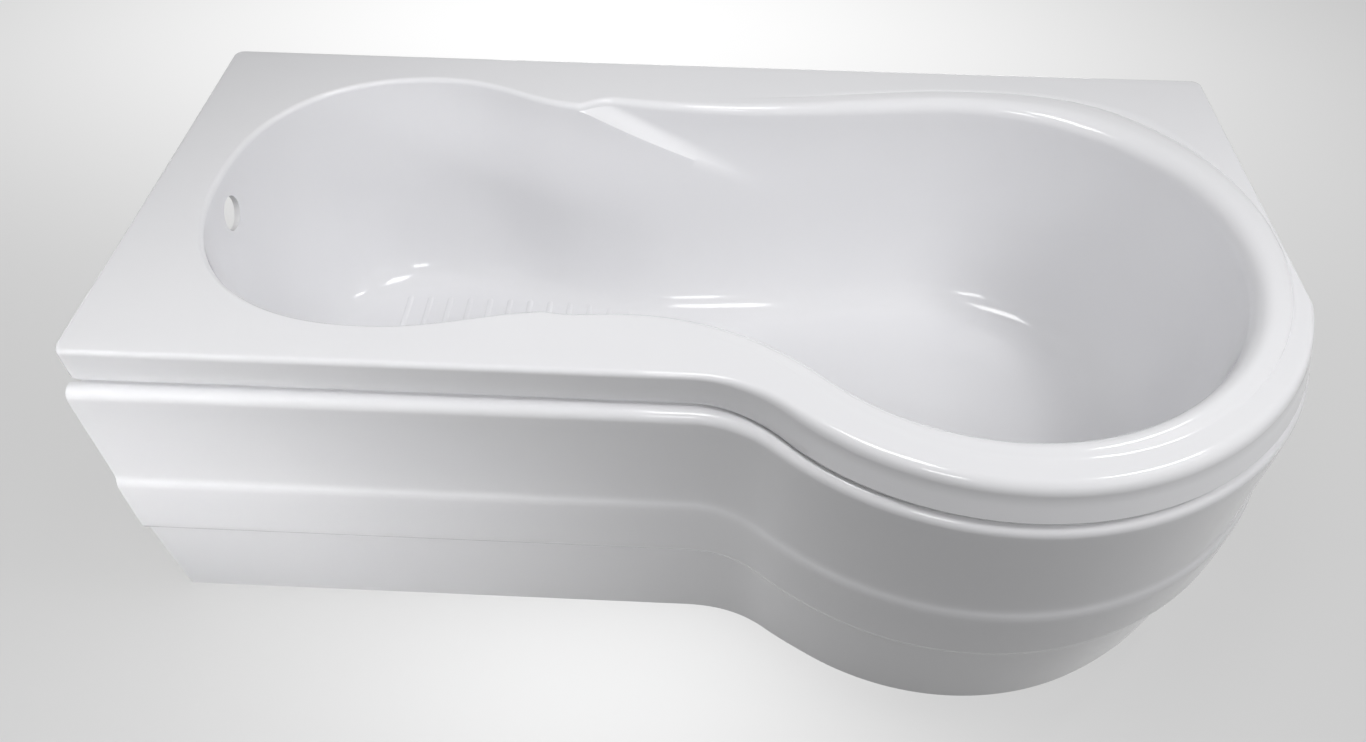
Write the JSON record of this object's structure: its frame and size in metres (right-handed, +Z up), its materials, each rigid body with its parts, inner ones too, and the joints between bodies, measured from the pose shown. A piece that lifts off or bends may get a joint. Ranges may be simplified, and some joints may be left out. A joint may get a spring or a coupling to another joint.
{
  "type": "shower bath",
  "caption": "P shaped shower bath: moulded bowl and rim with a bulge at the shower end, stepped curved front panel, timber rim frame and height adjustable feet.",
  "frame": {"origin": "on the floor, midway between the two end walls and midway between the long wall and the front of the panel band", "axes": "+X along the bath from the tap end to the shower end, +Y to the long wall, +Z up; the room is at -Y"},
  "size_m": [1.6, 0.877, 0.537],
  "materials": {
    "bath_acrylic": "glossy white acrylic, rough resin on the hidden side",
    "panel_acrylic": "glossy white acrylic",
    "base_board": "raw chipboard sealed with resin",
    "softwood": "sawn softwood",
    "bracket_steel": "zinc plated, dull",
    "rod_steel": "zinc plated thread",
    "screw_steel": "zinc plated, bright",
    "foot_plastic": "moulded, fine grain"
  },
  "bodies": {
    "bath_body": {"bath_shell": "bath_acrylic", "front_panel": "panel_acrylic", "base_board": "base_board", "rim_batten_back": "softwood", "rim_batten_tap_end": "softwood", "rim_batten_shower_end": "softwood", "rim_batten_front": "softwood", "rim_batten_bulge": "softwood", "narrow_leg_rail": "bracket_steel", "wide_leg_rail": "bracket_steel", "centre_leg_bracket": "bracket_steel", "rail_screws": "screw_steel", "centre_bracket_screws": "screw_steel", "wall_bracket_back_left": "bracket_steel", "wall_bracket_back_right": "bracket_steel", "wall_bracket_tap_end": "bracket_steel", "wall_bracket_shower_end": "bracket_steel", "wall_bracket_screws": "screw_steel", "panel_clips": "bracket_steel", "panel_clip_screws": "screw_steel", "panel_foot_batten": "softwood", "panel_foot_batten_bulge": "softwood", "narrow_panel_stay": "bracket_steel", "wide_panel_stay": "bracket_steel", "panel_stay_screws": "screw_steel"},
    "foot_leg_1": {"threaded_rod_1": "rod_steel", "foot_1": "foot_plastic"},
    "leg_nuts_1": {"rod_nuts_1": "rod_steel"},
    "foot_leg_2": {"threaded_rod_2": "rod_steel", "foot_2": "foot_plastic"},
    "leg_nuts_2": {"rod_nuts_2": "rod_steel"},
    "foot_leg_3": {"threaded_rod_3": "rod_steel", "foot_3": "foot_plastic"},
    "leg_nuts_3": {"rod_nuts_3": "rod_steel"},
    "foot_leg_4": {"threaded_rod_4": "rod_steel", "foot_4": "foot_plastic"},
    "leg_nuts_4": {"rod_nuts_4": "rod_steel"},
    "foot_leg_5": {"threaded_rod_5": "rod_steel", "foot_5": "foot_plastic"},
    "leg_nuts_5": {"rod_nuts_5": "rod_steel"}
  },
  "joints": [
    {"name": "nut_1_turn", "type": "hinge", "parent": "bath_body", "child": "leg_nuts_1", "pos_m": [-0.39, 0.3535, 0.137], "axis": [0, 0, 1], "range_deg": [-3086.71, 5143.86]},
    {"name": "foot_1_height", "type": "slide", "parent": "bath_body", "child": "foot_leg_1", "axis": [0, 0, -1], "range_m": [-0.015, 0.025]},
    {"name": "nut_2_turn", "type": "hinge", "parent": "bath_body", "child": "leg_nuts_2", "pos_m": [-0.39, -0.19746, 0.137], "axis": [0, 0, 1], "range_deg": [-3086.71, 5143.86]},
    {"name": "foot_2_height", "type": "slide", "parent": "bath_body", "child": "foot_leg_2", "axis": [0, 0, -1], "range_m": [-0.015, 0.025]},
    {"name": "nut_3_turn", "type": "hinge", "parent": "bath_body", "child": "leg_nuts_3", "pos_m": [0.43, 0.3535, 0.137], "axis": [0, 0, 1], "range_deg": [-3086.71, 5143.86]},
    {"name": "foot_3_height", "type": "slide", "parent": "bath_body", "child": "foot_leg_3", "axis": [0, 0, -1], "range_m": [-0.015, 0.025]},
    {"name": "nut_4_turn", "type": "hinge", "parent": "bath_body", "child": "leg_nuts_4", "pos_m": [0.43, -0.33333, 0.137], "axis": [0, 0, 1], "range_deg": [-3086.71, 5143.86]},
    {"name": "foot_4_height", "type": "slide", "parent": "bath_body", "child": "foot_leg_4", "axis": [0, 0, -1], "range_m": [-0.015, 0.025]},
    {"name": "nut_5_turn", "type": "hinge", "parent": "bath_body", "child": "leg_nuts_5", "pos_m": [0.02, 0.051, 0.137], "axis": [0, 0, 1], "range_deg": [-3086.71, 5143.86]},
    {"name": "foot_5_height", "type": "slide", "parent": "bath_body", "child": "foot_leg_5", "axis": [0, 0, -1], "range_m": [-0.015, 0.025]}
  ],
  "couplings": [
    {"joint": "nut_1_turn", "follows": "foot_1_height", "rad_per_m": 3590.4},
    {"joint": "nut_2_turn", "follows": "foot_2_height", "rad_per_m": 3590.4},
    {"joint": "nut_3_turn", "follows": "foot_3_height", "rad_per_m": 3590.4},
    {"joint": "nut_4_turn", "follows": "foot_4_height", "rad_per_m": 3590.4},
    {"joint": "nut_5_turn", "follows": "foot_5_height", "rad_per_m": 3590.4}
  ]
}
